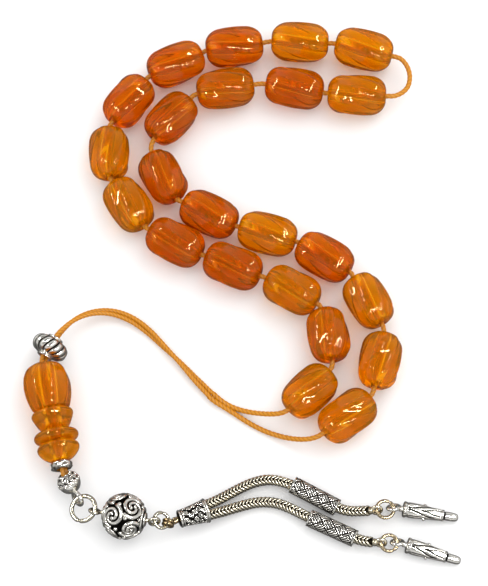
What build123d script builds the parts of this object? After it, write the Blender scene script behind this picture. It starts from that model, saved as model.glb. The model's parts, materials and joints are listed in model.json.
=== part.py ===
"""Misbaha: 23 amber beads on a waxed string, a turned amber head and a silver tassel, laid out flat.

Millimetres, +Z up. The beads lie on the plane z = 0 in a loose S, and the origin is the middle of
the layout on that plane. Every place below is given in the layout's own coordinates and moved to
the origin by place().
"""
import os
from math import cos, pi, radians, sin, tan

from build123d import *

# ---- Driving dimensions --------------------------------------------------------------------
LAYOUT_MIDDLE = (-0.96, 2.88)    # middle of the layout, which becomes the origin
STRING_DIAMETER = 1.3
DOUBLED_DIAMETER = 2.2          # the two strands side by side, above and through the head

BEAD_DIAMETER = 10.4
BEAD_BORE = 2.0
BEAD_END_CORNER = 4.2           # how far the rounded end reaches along the bead
BEAD_SIDE_BULGE = 0.2           # the barrel is this much thinner where its rounded ends begin
BEAD_FLUTES = 8
FLUTE_DEPTH = 0.35
FLUTE_CUTTER_RADIUS = 3.0
FLUTE_TILT = 17.0               # degrees between a flute and the bead's bore
PHASE_STEP = 137.5              # degrees of spin from one bead to the next

HEAD_TOP = (-49.6, -19.0, 5.95)     # top face of the head barrel
HEAD_HEADING = -78.7                # the head points this way, degrees from +X
HEAD_BORE = 2.9
HEAD_GAP = 0.2                      # between two neighbours on the head's string

BALL_CAP_RADIUS = 2.8
KNOT_RADIUS = 1.75
KNOT_TOP = 1.1                      # the string meets the knot this far above the ball cap's middle
FILIGREE_RADIUS = 5.65
FILIGREE_WALL = 0.9
PIN_DIAMETER = 0.8

CAP_MOUTH_DEPTH = 2.6
CHAIN_DIAMETER = 2.5
CHAIN_LEAD = 1.6                    # a chain runs straight into its end for this far
TUBE_LENGTH = 12.2
TUBE_RADIUS = 2.15
TUBE_BORE = CHAIN_DIAMETER + 0.4
DROP_LENGTH = 13.7
DROP_FALL = 4.5                     # degrees that a drop slopes down towards its tip
DROP_NECK = 0.9                     # from the eye to the drop's rim
CAP_SMALL_END = (-15.8, -57.75, 4.2)
CAP_WIDE_END = (-8.9, -55.25, 3.25)
CHAIN_SPACING = 1.28                # each chain leaves the cap this far from the cap's middle

# Beads in string order: middle x, middle y, heading of the bore in degrees, length.
OUTER_ROW = [
    (31.0, 66.6, -14, 15.0),
    (14.5, 68.7, -3, 14.8),
    (-2.5, 67.4, 8, 14.8),
    (-17.6, 62.5, 25, 14.8),
    (-29.6, 52.1, 54, 14.2),
    (-34.4, 37.6, 92, 13.8),
    (-29.2, 23.6, 124, 14.2),
    (-17.3, 13.4, 153, 14.8),
    (-2.8, 7.1, 158, 14.8),
    (12.0, 0.7, 152, 14.4),
    (20.9, -11.1, 101, 13.8),
    (16.2, -25.6, 44, 14.2),
]
INNER_ROW = [
    (29.0, 53.8, -3, 15.0),
    (13.0, 55.8, -10, 15.0),
    (-4.8, 55.6, 9, 14.8),
    (-18.7, 47.3, 49, 14.2),
    (-20.6, 31.1, 119, 14.0),
    (-8.8, 21.0, 154, 14.8),
    (5.9, 15.7, 165, 14.8),
    (20.2, 9.5, 150, 14.8),
    (31.0, -2.1, 120, 14.0),
    (33.6, -17.7, 79, 14.2),
    (25.4, -31.9, 38, 14.8),
]

# The string between the beads, in layout coordinates.
END_LOOP = [(41.0, 64.2, 4.8), (43.0, 60.8, 4.2), (42.6, 56.4, 4.2), (39.6, 53.7, 4.8)]
STRAND_A = [(8.6, -31.3, 4.6), (5.4, -30.9, 3.0), (1.4, -30.0, 1.4), (-2.0, -28.9, 0.75), (-4.6, -27.6, 0.75)]
STRAND_B = [(16.9, -37.6, 4.5), (13.4, -37.4, 2.9), (9.4, -36.3, 1.3), (4.9, -34.6, 0.7),
            (0.6, -32.2, 0.7), (-3.4, -29.4, 0.75)]
JOIN = (-8.2, -25.4, 1.15)          # where the two strands come together
STRAND_LEAD = 1.6                   # each strand runs straight into the join for this far
DOUBLED = [(-11.6, -21.9, 1.15), (-15.6, -17.3, 1.15), (-19.9, -12.9, 1.15), (-24.2, -8.4, 1.2),
           (-28.8, -5.2, 1.4), (-33.8, -3.8, 2.0), (-38.6, -4.5, 3.0), (-42.6, -6.8, 4.1),
           (-45.5, -10.0, 4.9)]
RONDELLE_MIDDLE = (-48.1, -14.4, 5.4)
RONDELLE_HEADING = 240.0            # the way its string runs, towards the head
RONDELLE_LENGTH = 5.6
BALL_CAP_MIDDLE = (-42.6, -48.6, 4.2)
HEAD_END = 27.8                     # the doubled string turns to the ball cap this far down the head

# The rings that link the tassel: middle, radius to the wire's middle, wire, rise in degrees to the
# right, and the angles round the ring of the eye before it and the eye after it.
LARGE_RING = ((-39.0, -55.1, 4.3), 3.1, 1.1, 20.0, 121.0, -17.0)
SMALL_RING = ((-20.0, -58.3, 5.4), 1.9, 0.85, -25.0, 195.0, -15.0)
END_RING_1 = ((34.4, -54.8, 2.3), 2.1, 0.9, 0.0, 185.0, 12.0)
END_RING_2 = ((35.2, -63.2, 2.3), 2.0, 0.9, 0.0, 177.0, 5.0)
EYE_INNER_RADIUS = 0.68
EYE_WIRE = 0.7

# Each chain: its side of the cap, the points before its tube, the tube's middle and heading, the
# points after the tube, and the heading of the drop at its end.
CHAIN_1 = (1, [(-5.6, -52.2, 2.6), (-1.8, -49.8, 1.6), (2.2, -47.8, 1.35), (6.6, -46.9, 1.35)],
           (17.3, -51.5, 2.2), -28.3, [(25.5, -55.3, 2.1)], -8.4)
CHAIN_2 = (-1, [(-4.6, -55.3, 2.5), (-0.8, -53.8, 1.6), (3.6, -52.7, 1.35), (8.0, -52.9, 1.35), (12.0, -54.7, 1.6)],
           (21.4, -59.5, 2.2), -25.2, [], -16.2)


def place(x, y, z):
    """A point of the layout, in the part's own frame."""
    return Vector(x - LAYOUT_MIDDLE[0], y - LAYOUT_MIDDLE[1], z)


def level(heading):
    """A level unit vector at a heading in degrees from +X."""
    return Vector(cos(radians(heading)), sin(radians(heading)), 0)


def lathe_plane(start, direction):
    """The plane of a turned piece: its Z is the piece's axis and its X is level."""
    return Plane(origin=start, x_dir=direction.cross(Vector(0, 0, 1)), z_dir=direction)


def turned(outline, start, direction):
    """A turned solid. The outline holds edges in (radius, height), closed, with height along the axis."""
    face = make_face(Plane.XZ * Curve(outline))
    return lathe_plane(start, direction).location * revolve(face, Axis.Z)


def drilled_rod(diameter, length, start, direction):
    """A straight round cutter that begins at start."""
    rod = Cylinder(diameter / 2, length, align=(Align.CENTER, Align.CENTER, Align.MIN))
    return lathe_plane(start, direction).location * rod


def flute_cutters(radius, depth, cutter_radius, tilt, count, phase):
    """Round bars around a turned piece's Z axis, each tilted like a right-handed thread, that cut its flutes."""
    bar_length = 4 * radius
    reach = radius - depth + cutter_radius
    bars = []
    for index in range(count):
        bar = Rot(-tilt, 0, 0) * Cylinder(cutter_radius, bar_length)
        bars.append(Rot(0, 0, phase + 360 * index / count) * (Pos(reach, 0, 0) * bar))
    return bars


# ---- Amber beads ---------------------------------------------------------------------------
def barrel_outline(length, radius, side_radius, face_radius, bore_radius, top_corner, end_corner):
    """Half section of a barrel with two rounded ends: height 0 is its first face."""
    swing = sin(pi / 4)
    first_middle = (face_radius + (side_radius - face_radius) * swing, top_corner * (1 - swing))
    last_middle = (first_middle[0], length - end_corner * (1 - swing))
    side_start = (side_radius, top_corner)
    side_end = (side_radius, length - end_corner)
    return [
        Line((bore_radius, 0), (face_radius, 0)),
        ThreePointArc((face_radius, 0), first_middle, side_start),
        ThreePointArc(side_start, (radius, (top_corner + length - end_corner) / 2), side_end),
        ThreePointArc(side_end, last_middle, (face_radius, length)),
        Line((face_radius, length), (bore_radius, length)),
        Line((bore_radius, length), (bore_radius, 0)),
    ]


def bead(row, phase):
    """One fluted barrel bead, lying with its bore level at its own radius."""
    x, y, heading, length = row
    radius = BEAD_DIAMETER / 2
    face_radius = BEAD_BORE / 2 + 0.2
    outline = barrel_outline(length, radius, radius - BEAD_SIDE_BULGE, face_radius, BEAD_BORE / 2,
                             BEAD_END_CORNER, BEAD_END_CORNER)
    start = place(x, y, radius) - level(heading) * (length / 2)
    body = turned(outline, start, level(heading))
    middle = lathe_plane(place(x, y, radius), level(heading)).location
    for cutter in flute_cutters(radius, FLUTE_DEPTH, FLUTE_CUTTER_RADIUS, FLUTE_TILT, BEAD_FLUTES, phase):
        body -= middle * cutter
    return body


def bead_ends(row):
    """Where the string enters and leaves a bead, in the order of its heading."""
    x, y, heading, length = row
    middle = place(x, y, BEAD_DIAMETER / 2)
    return middle - level(heading) * (length / 2), middle + level(heading) * (length / 2)


# ---- String --------------------------------------------------------------------------------
def corner_radii(points):
    """The largest tangent arc that the two runs of each corner allow."""
    radii = []
    for before, corner, after in zip(points, points[1:], points[2:]):
        turn = radians((corner - before).get_angle(after - corner))
        shorter = min((corner - before).length, (after - corner).length)
        radii.append(0.45 * shorter / tan(turn / 2))
    return radii


def cord(points, diameter, name):
    """A round tube along straight runs joined by tangent arcs, with its length printed."""
    radii = corner_radii(points)
    path = FilletPolyline(*points, radius=radii)
    section = (path ^ 0) * Circle(diameter / 2)
    tube = sweep(section, path)
    expected = pi * diameter ** 2 / 4 * path.length
    print(f"{name}: length {path.length:.1f}, smallest radius {min(radii):.1f}, "
          f"volume {tube.volume:.1f} of {expected:.1f}")
    return tube


def string_loop_route():
    """From the join along strand A, through every bead and round the far end, back to the join."""
    lead = doubled_direction() * STRAND_LEAD
    route = [strand_end(1), strand_end(1) - lead]
    route += [place(*point) for point in reversed(STRAND_A)]
    for row in reversed(OUTER_ROW):
        route += bead_ends(row)
    route += [place(*point) for point in END_LOOP]
    for row in INNER_ROW:
        route += reversed(bead_ends(row))
    route += [place(*point) for point in STRAND_B]
    route += [strand_end(-1) - lead, strand_end(-1)]
    return route


def doubled_direction():
    """The way the doubled string leaves the join."""
    return (place(*DOUBLED[0]) - place(*JOIN)).normalized()


def strand_end(side):
    """Where one strand meets the end of the doubled string."""
    across = Vector(0, 0, 1).cross(doubled_direction())
    return place(*JOIN) - across * (side * STRING_DIAMETER / 2)


def head_point(distance):
    """A point on the head's axis, this far below the top of its barrel."""
    return place(*HEAD_TOP) + level(HEAD_HEADING) * distance


def rondelle_ends():
    """Where the string enters and leaves the rondelle."""
    middle = place(*RONDELLE_MIDDLE)
    along = level(RONDELLE_HEADING) * (RONDELLE_LENGTH / 2)
    return middle - along, middle + along


# ---- Head ----------------------------------------------------------------------------------
def rondelle():
    """Silver melon-shaped spacer with a short collar at each end."""
    radius = 4.7
    collar_radius = 1.9
    collar = 0.6
    bore = HEAD_BORE / 2
    length = RONDELLE_LENGTH
    outline = [
        Line((bore, 0), (collar_radius, 0)),
        Line((collar_radius, 0), (collar_radius, collar)),
        ThreePointArc((collar_radius, collar), (radius, length / 2), (collar_radius, length - collar)),
        Line((collar_radius, length - collar), (collar_radius, length)),
        Line((collar_radius, length), (bore, length)),
        Line((bore, length), (bore, 0)),
    ]
    start, _ = rondelle_ends()
    body = turned(outline, start, level(RONDELLE_HEADING))
    middle = lathe_plane(place(*RONDELLE_MIDDLE), level(RONDELLE_HEADING)).location
    for cutter in flute_cutters(radius, depth=0.35, cutter_radius=0.6, tilt=14, count=12, phase=0):
        body -= middle * cutter
    return body


def head_barrel():
    """The large fluted amber bead at the top of the head, fuller towards its top."""
    length = 12.0
    radius = 5.9
    bore = HEAD_BORE / 2
    shoulder = (5.7, 4.4)
    waist = (4.9, 10.6)
    outline = [
        Line((bore, 0), (1.9, 0)),
        ThreePointArc((1.9, 0), (4.6, 1.35), shoulder),
        ThreePointArc(shoulder, (radius - 0.12, 7.2), waist),
        ThreePointArc(waist, (4.6, 11.6), (4.0, length)),
        Line((4.0, length), (bore, length)),
        Line((bore, length), (bore, 0)),
    ]
    direction = level(HEAD_HEADING)
    body = turned(outline, head_point(0), direction)
    middle = lathe_plane(head_point(length / 2), direction).location
    cutters = flute_cutters(radius, FLUTE_DEPTH, FLUTE_CUTTER_RADIUS, tilt=5, count=BEAD_FLUTES, phase=10)
    for cutter in cutters:
        body -= middle * cutter
    return body


def head_cup(top):
    """Turned amber cup: a rounded rim that narrows to a neck."""
    bore = HEAD_BORE / 2
    height = 5.0
    outline = [
        Line((bore, 0), (4.2, 0)),
        ThreePointArc((4.2, 0), (5.2, 1.1), (4.7, 2.3)),
        ThreePointArc((4.7, 2.3), (4.2, 3.7), (3.2, 4.7)),
        Line((3.2, 4.7), (3.1, height)),
        Line((3.1, height), (bore, height)),
        Line((bore, height), (bore, 0)),
    ]
    return turned(outline, head_point(top), level(HEAD_HEADING))


def head_disc(top):
    """Turned amber disc with a rounded edge."""
    bore = HEAD_BORE / 2
    height = 3.0
    outline = [
        Line((bore, 0), (3.3, 0)),
        Line((3.3, 0), (4.6, 0.4)),
        ThreePointArc((4.6, 0.4), (5.55, height / 2), (4.6, height - 0.4)),
        Line((4.6, height - 0.4), (3.3, height)),
        Line((3.3, height), (bore, height)),
        Line((bore, height), (bore, 0)),
    ]
    return turned(outline, head_point(top), level(HEAD_HEADING))


def head_bowl(top):
    """Turned amber bowl that closes the head: a rounded rim over a rounded underside."""
    bore = HEAD_BORE / 2
    height = 4.5
    outline = [
        Line((bore, 0), (3.4, 0)),
        Line((3.4, 0), (4.5, 0.3)),
        ThreePointArc((4.5, 0.3), (5.25, 1.3), (4.8, 2.4)),
        ThreePointArc((4.8, 2.4), (3.8, 3.7), (2.2, height)),
        Line((2.2, height), (bore, height)),
        Line((bore, height), (bore, 0)),
    ]
    return turned(outline, head_point(top), level(HEAD_HEADING))


def head_spacer(top):
    """Small silver washer below the bowl, with eight hammered flats round its rim."""
    bore = HEAD_BORE / 2
    radius = 2.7
    height = 2.0
    edge = 0.4
    outline = [
        Line((bore, 0), (radius - edge, 0)),
        Line((radius - edge, 0), (radius, edge)),
        Line((radius, edge), (radius, height - edge)),
        Line((radius, height - edge), (radius - edge, height)),
        Line((radius - edge, height), (bore, height)),
        Line((bore, height), (bore, 0)),
    ]
    body = turned(outline, head_point(top), level(HEAD_HEADING))
    flats = extrude(RegularPolygon(radius * 1.02, 8), height)
    return body & lathe_plane(head_point(top), level(HEAD_HEADING)).location * flats


def ball_cap_direction():
    """The way the doubled string enters the ball cap."""
    return (place(*BALL_CAP_MIDDLE) - head_point(HEAD_END)).normalized()


def string_knot():
    """The knot that holds the string inside the ball cap, flat where the string enters it."""
    middle = place(*BALL_CAP_MIDDLE)
    into = ball_cap_direction()
    flat = drilled_rod(2 * KNOT_RADIUS, KNOT_RADIUS, middle - into * (KNOT_TOP + KNOT_RADIUS), into)
    return Pos(middle) * Sphere(KNOT_RADIUS) - flat


def ball_cap():
    """Hollow silver ball that hides the string's knot, with a loop for the large ring."""
    middle = place(*BALL_CAP_MIDDLE)
    into = ball_cap_direction()
    loop_middle, tangent, _ = ring_eye(LARGE_RING, 0)
    loop_wire = 0.9
    loop_radius = 1.4
    loop = eye(loop_middle, tangent, loop_radius, loop_wire)
    stem_start = middle + (loop_middle - middle).normalized() * (BALL_CAP_RADIUS - 0.5)
    stem_reach = (loop_middle - stem_start).length - loop_radius
    stem = drilled_rod(1.2, stem_reach, stem_start, (loop_middle - middle).normalized())
    body = Pos(middle) * Sphere(BALL_CAP_RADIUS) + stem + loop
    body -= Pos(middle) * Sphere(KNOT_RADIUS + 0.2)
    return body - drilled_rod(DOUBLED_DIAMETER + 0.3, BALL_CAP_RADIUS, middle - into * BALL_CAP_RADIUS, into)


# ---- Rings, eyes and the filigree ball -----------------------------------------------------
def ring_axes(ring):
    """The two directions in a ring's plane: to the right, rising by its tilt, and away."""
    tilt = radians(ring[3])
    return Vector(cos(tilt), 0, sin(tilt)), Vector(0, 1, 0)


def ring_eye(ring, which):
    """Where an eye holds a ring: the point, the wire's direction there and the way out of the ring."""
    middle, radius = place(*ring[0]), ring[1]
    right, away = ring_axes(ring)
    angle = radians(ring[4 + which])
    outward = right * cos(angle) + away * sin(angle)
    tangent = away * cos(angle) - right * sin(angle)
    return middle + outward * radius, tangent, outward


def jump_ring(ring):
    """A round wire ring in its own tilted plane."""
    right, away = ring_axes(ring)
    plane = Plane(origin=place(*ring[0]), x_dir=right, z_dir=right.cross(away))
    return plane.location * Torus(ring[1], ring[2] / 2)


def eye(middle, normal, radius, wire):
    """A wire eye round a point, square to a ring's wire there."""
    return Plane(origin=middle, z_dir=normal).location * Torus(radius, wire / 2)


def linked_eye(ring, which):
    """The usual small eye on a ring."""
    middle, tangent, _ = ring_eye(ring, which)
    return eye(middle, tangent, EYE_INNER_RADIUS + EYE_WIRE / 2, EYE_WIRE)


def stem_between(eye_middle, end, diameter):
    """A straight stem from the far side of an eye's wire to a point."""
    along = (end - eye_middle).normalized()
    start = eye_middle + along * (EYE_INNER_RADIUS + EYE_WIRE / 2)
    return drilled_rod(diameter, (end - start).length, start, along)


def pin_ends():
    """The middles of the two eyes of the pin through the filigree ball."""
    return ring_eye(LARGE_RING, 1)[0], ring_eye(SMALL_RING, 0)[0]


def filigree_middle():
    start, end = pin_ends()
    return (start + end) * 0.5


def ball_pin():
    """The wire pin through the filigree ball, with an eye at each end."""
    start, end = pin_ends()
    pin = linked_eye(LARGE_RING, 1) + linked_eye(SMALL_RING, 0)
    middle = filigree_middle()
    return pin + stem_between(start, middle, PIN_DIAMETER) + stem_between(end, middle, PIN_DIAMETER)


def filigree_ball():
    """Openwork silver ball: a shell with round windows in three rows, and a collar at each pole."""
    start, end = pin_ends()
    along = (end - start).normalized()
    plane = lathe_plane(filigree_middle(), along)
    shell = Sphere(FILIGREE_RADIUS) - Sphere(FILIGREE_RADIUS - FILIGREE_WALL)
    window_rows = [(0, 8, 1.45), (45, 6, 1.3), (-45, 6, 1.3)]
    for latitude, count, radius in window_rows:
        for index in range(count):
            window = Cylinder(radius, FILIGREE_RADIUS * 1.2, align=(Align.CENTER, Align.CENTER, Align.MIN))
            shell -= Rot(0, 0, 360 * index / count) * (Rot(0, 90 - latitude, 0) * window)
    bore = Cylinder(PIN_DIAMETER / 2 + 0.2, 4 * FILIGREE_RADIUS)
    return plane.location * (shell - bore)


# ---- End cap, chains, tubes and drops ------------------------------------------------------
def cap_direction():
    return (place(*CAP_WIDE_END) - place(*CAP_SMALL_END)).normalized()


def end_cap():
    """Tapered silver cap: rim rings at both ends and a round mouth that holds the two chains."""
    start = place(*CAP_SMALL_END)
    length = (place(*CAP_WIDE_END) - start).length
    small, wide, rim = 1.9, 2.85, 0.25
    mouth = 2.6
    rim_width = 0.8
    outline = [
        Line((0, 0), (small + rim, 0)),
        Line((small + rim, 0), (small + rim, rim_width)),
        Line((small + rim, rim_width), (small, rim_width)),
        Line((small, rim_width), (wide, length - rim_width)),
        Line((wide, length - rim_width), (wide + rim, length - rim_width)),
        Line((wide + rim, length - rim_width), (wide + rim, length)),
        Line((wide + rim, length), (mouth, length)),
        Line((mouth, length), (mouth, length - CAP_MOUTH_DEPTH)),
        Line((mouth, length - CAP_MOUTH_DEPTH), (0, length - CAP_MOUTH_DEPTH)),
        Line((0, length - CAP_MOUTH_DEPTH), (0, 0)),
    ]
    return turned(outline, start, cap_direction())


def cap_loop():
    """The wire loop soldered to the small end of the cap."""
    eye_middle, _, _ = ring_eye(SMALL_RING, 1)
    return linked_eye(SMALL_RING, 1) + stem_between(eye_middle, place(*CAP_SMALL_END), 1.0) - end_cap()


def tube_ends(middle, heading):
    along = level(heading) * (TUBE_LENGTH / 2)
    return place(*middle) - along, place(*middle) + along


def chain_end(ring):
    """Where a chain stops, just short of the eye that holds its end ring, and the way back along it."""
    eye_middle, _, outward = ring_eye(ring, 0)
    return eye_middle + outward * (EYE_INNER_RADIUS + EYE_WIRE + 0.1), outward


def chain_route(chain, ring):
    """A foxtail chain's route: cap mouth, floor, through its tube, and on to its end ring."""
    side, before, middle, heading, after, _ = chain
    along = cap_direction()
    across = Vector(0, 0, 1).cross(along).normalized() * (side * CHAIN_SPACING)
    mouth_floor = place(*CAP_WIDE_END) - along * CAP_MOUTH_DEPTH + across
    mouth = place(*CAP_WIDE_END) + along * 0.6 + across
    route = [mouth_floor, mouth] + [place(*point) for point in before]
    route += tube_ends(middle, heading)
    route += [place(*point) for point in after]
    end, back = chain_end(ring)
    route += [end + back * CHAIN_LEAD, end]
    return route


def chain_end_loop(ring):
    """The eye on the last link of a chain."""
    eye_middle, _, _ = ring_eye(ring, 0)
    return linked_eye(ring, 0) + stem_between(eye_middle, chain_end(ring)[0], 0.9)


def weave_tube(middle, heading):
    """Silver tube that slides on a chain, with a thin raised rim at each end."""
    bore, rim_width = TUBE_BORE / 2, 0.5
    body = TUBE_RADIUS - 0.1
    outline = [
        Line((bore, 0), (TUBE_RADIUS, 0)),
        Line((TUBE_RADIUS, 0), (TUBE_RADIUS, rim_width)),
        Line((TUBE_RADIUS, rim_width), (body, rim_width)),
        Line((body, rim_width), (body, TUBE_LENGTH - rim_width)),
        Line((body, TUBE_LENGTH - rim_width), (TUBE_RADIUS, TUBE_LENGTH - rim_width)),
        Line((TUBE_RADIUS, TUBE_LENGTH - rim_width), (TUBE_RADIUS, TUBE_LENGTH)),
        Line((TUBE_RADIUS, TUBE_LENGTH), (bore, TUBE_LENGTH)),
        Line((bore, TUBE_LENGTH), (bore, 0)),
    ]
    start, _ = tube_ends(middle, heading)
    return turned(outline, start, level(heading))


def drop(ring, heading):
    """A long tapered silver drop with a rounded rim, a ring near its tip and an eye for its link."""
    eye_middle, _, _ = ring_eye(ring, 1)
    along = (level(heading) - Vector(0, 0, sin(radians(DROP_FALL)))).normalized()
    rim_start = eye_middle + along * (EYE_INNER_RADIUS + EYE_WIRE + DROP_NECK)
    tip_radius = 0.95
    groove = DROP_LENGTH - 3.6
    outline = [
        Line((0, 0), (1.2, 0)),
        ThreePointArc((1.2, 0), (2.05, 0.55), (1.75, 1.2)),
        ThreePointArc((1.75, 1.2), (1.6, groove / 2), (1.2, groove)),
        Line((1.2, groove), (tip_radius, groove + 0.15)),
        Line((tip_radius, groove + 0.15), (tip_radius, DROP_LENGTH - tip_radius)),
        ThreePointArc((tip_radius, DROP_LENGTH - tip_radius),
                      (tip_radius * cos(pi / 4), DROP_LENGTH - tip_radius * (1 - sin(pi / 4))),
                      (0, DROP_LENGTH)),
        Line((0, DROP_LENGTH), (0, 0)),
    ]
    body = turned(outline, rim_start, along)
    return body + linked_eye(ring, 1) + stem_between(eye_middle, rim_start + along * 0.3, 1.1)


# ---- The assembly --------------------------------------------------------------------------
def build():
    """Every piece of the misbaha, by node name."""
    nodes = {}
    for number, row in enumerate(OUTER_ROW + INNER_ROW, start=1):
        nodes[f"bead_{number:02d}"] = bead(row, number * PHASE_STEP)
    nodes["string_loop"] = cord(string_loop_route(), STRING_DIAMETER, "string_loop")
    doubled = [place(*JOIN)] + [place(*point) for point in DOUBLED]
    doubled += rondelle_ends()
    doubled += [head_point(0), head_point(HEAD_END)]
    doubled.append(place(*BALL_CAP_MIDDLE) - ball_cap_direction() * KNOT_TOP)
    nodes["string_doubled"] = cord(doubled, DOUBLED_DIAMETER, "string_doubled")
    nodes["string_knot"] = string_knot()
    nodes["rondelle"] = rondelle()
    nodes["head_barrel"] = head_barrel()
    nodes["head_cup"] = head_cup(12.0 + HEAD_GAP)
    nodes["head_disc"] = head_disc(17.2 + HEAD_GAP)
    nodes["head_bowl"] = head_bowl(20.4 + HEAD_GAP)
    nodes["head_spacer"] = head_spacer(25.1 + HEAD_GAP)
    nodes["ball_cap"] = ball_cap()
    nodes["large_ring"] = jump_ring(LARGE_RING)
    nodes["ball_pin"] = ball_pin()
    nodes["filigree_ball"] = filigree_ball()
    nodes["small_ring"] = jump_ring(SMALL_RING)
    nodes["cap_loop"] = cap_loop()
    nodes["end_cap"] = end_cap()
    for number, chain, ring in ((1, CHAIN_1, END_RING_1), (2, CHAIN_2, END_RING_2)):
        nodes[f"chain_{number}"] = cord(chain_route(chain, ring), CHAIN_DIAMETER, f"chain_{number}")
        nodes[f"chain_{number}_end_loop"] = chain_end_loop(ring)
        nodes[f"weave_tube_{number}"] = weave_tube(chain[2], chain[3])
        nodes[f"end_ring_{number}"] = jump_ring(ring)
        nodes[f"drop_{number}"] = drop(ring, chain[5])
    return nodes


def write(nodes):
    os.makedirs("parts", exist_ok=True)
    for name, shape in nodes.items():
        export_step(shape, f"parts/{name}.step")


write(build())
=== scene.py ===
"""The looks of the misbaha: fluted amber beads on a waxed string, with a silver tassel.

Everything is in metres in the frame's own axes. The cords' points are given in the layout's own
millimetres, and place() moves them to the frame.
"""

import json
from bisect import bisect_right
from math import asin, cos, exp, floor, pi, radians, sin, sqrt

import bpy
from mathutils import Matrix, Vector, noise


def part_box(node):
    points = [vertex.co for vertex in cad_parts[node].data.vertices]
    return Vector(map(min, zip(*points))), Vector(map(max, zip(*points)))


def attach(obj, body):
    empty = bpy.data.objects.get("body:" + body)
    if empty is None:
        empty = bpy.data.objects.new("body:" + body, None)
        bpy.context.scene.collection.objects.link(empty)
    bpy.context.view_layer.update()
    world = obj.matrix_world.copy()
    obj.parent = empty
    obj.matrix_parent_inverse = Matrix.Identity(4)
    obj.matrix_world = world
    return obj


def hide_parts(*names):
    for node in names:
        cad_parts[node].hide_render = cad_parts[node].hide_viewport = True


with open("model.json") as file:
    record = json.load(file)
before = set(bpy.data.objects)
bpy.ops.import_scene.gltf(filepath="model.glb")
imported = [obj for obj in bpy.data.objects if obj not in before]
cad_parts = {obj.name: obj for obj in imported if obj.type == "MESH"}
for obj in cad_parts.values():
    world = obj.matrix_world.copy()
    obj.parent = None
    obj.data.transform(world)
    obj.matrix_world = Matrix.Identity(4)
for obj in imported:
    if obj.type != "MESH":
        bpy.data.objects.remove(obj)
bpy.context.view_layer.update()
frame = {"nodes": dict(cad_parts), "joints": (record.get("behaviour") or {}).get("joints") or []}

MM = 0.001
RIGHT, AWAY, UP = Vector((1, 0, 0)), Vector((0, 1, 0)), Vector((0, 0, 1))
LAYOUT_MIDDLE = (-0.96, 2.88)  # the layout's middle, in its own millimetres
STRING_DIAMETER = 1.3 * MM
DOUBLED_DIAMETER = 2.2 * MM
CHAIN_DIAMETER = 2.5 * MM
BEAD_RADIUS = 5.2 * MM
BEAD_BORE = 1.0 * MM
HEAD_BORE = 1.45 * MM
HEAD_HEADING = -78.7  # degrees from X, towards the tassel

# The string past the beads, the doubled string and the chains, in layout millimetres.
END_LOOP = [(41.0, 64.2, 4.8), (43.0, 60.8, 4.2), (42.6, 56.4, 4.2), (39.6, 53.7, 4.8)]
STRAND_A = [(8.6, -31.3, 4.6), (5.4, -30.9, 3.0), (1.4, -30.0, 1.4), (-2.0, -28.9, 0.75),
            (-4.6, -27.6, 0.75)]
STRAND_B = [(16.9, -37.6, 4.5), (13.4, -37.4, 2.9), (9.4, -36.3, 1.3), (4.9, -34.6, 0.7),
            (0.6, -32.2, 0.7), (-3.4, -29.4, 0.75)]
JOIN = (-8.2, -25.4, 1.15)
STRAND_LEAD = 1.6 * MM  # how far a strand runs straight before the join
DOUBLED = [(-11.6, -21.9, 1.15), (-15.6, -17.3, 1.15), (-19.9, -12.9, 1.15), (-24.2, -8.4, 1.2),
           (-28.8, -5.2, 1.4), (-33.8, -3.8, 2.0), (-38.6, -4.5, 3.0), (-42.6, -6.8, 4.1),
           (-45.5, -10.0, 4.9)]
HEAD_TOP = (-49.6, -19.0, 5.95)
HEAD_END = 27.8 * MM
BALL_CAP_MIDDLE = (-42.6, -48.6, 4.2)
KNOT_TOP = 1.1 * MM  # from the ball cap's middle
CAP_SMALL_END = (-15.8, -57.75, 4.2)
CAP_WIDE_END = (-8.9, -55.25, 3.25)
CAP_MOUTH_DEPTH = 2.6 * MM
CHAIN_SPACING = 1.28 * MM  # from the cap's axis to a chain's
CHAIN_LEAD = 1.6 * MM  # how far a chain runs straight before its last link
CHAIN_POINTS = {
    1: [(-5.6, -52.2, 2.6), (-1.8, -49.8, 1.6), (2.2, -47.8, 1.35), (6.6, -46.9, 1.35)],
    2: [(-4.6, -55.3, 2.5), (-0.8, -53.8, 1.6), (3.6, -52.7, 1.35), (8.0, -52.9, 1.35),
        (12.0, -54.7, 1.6)],
}
CHAIN_AFTER_TUBE = {1: [(25.5, -55.3, 2.1)], 2: []}
CHAIN_SIDE = {1: 1, 2: -1}

BEADS = [f"bead_{number:02d}" for number in range(1, 24)]
OUTER_BEADS = BEADS[:12]
INNER_BEADS = BEADS[12:]


# ---- Places from the frame ----
def place(x, y, z):
    """A layout point in millimetres, as a point of the frame in metres."""
    return Vector(((x - LAYOUT_MIDDLE[0]) * MM, (y - LAYOUT_MIDDLE[1]) * MM, z * MM))


def places(points):
    """A list of layout points, as points of the frame."""
    return [place(*point) for point in points]


def level(heading):
    """The level direction at a heading in degrees."""
    return Vector((cos(radians(heading)), sin(radians(heading)), 0))


JOINTS = {joint["name"]: joint for joint in frame["joints"]}


def joint_place(name):
    """A point on a joint's axis, which is where its two pieces meet."""
    return Vector(JOINTS[name]["pos_m"])


def joint_axis(name):
    """The direction of a joint's axis."""
    return Vector(JOINTS[name]["axis"]).normalized()


def axle(node):
    """Where a turning piece begins, the way its axis runs and its length."""
    middle = joint_place(node + "_spin")
    axis = joint_axis(node + "_spin")
    along = [(vertex.co - middle).dot(axis) for vertex in frame["nodes"][node].data.vertices]
    return middle + axis * min(along), axis, max(along) - min(along)


def box_middle(node):
    """The middle of a CAD node's box."""
    low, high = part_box(node)
    return (low + high) / 2


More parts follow.
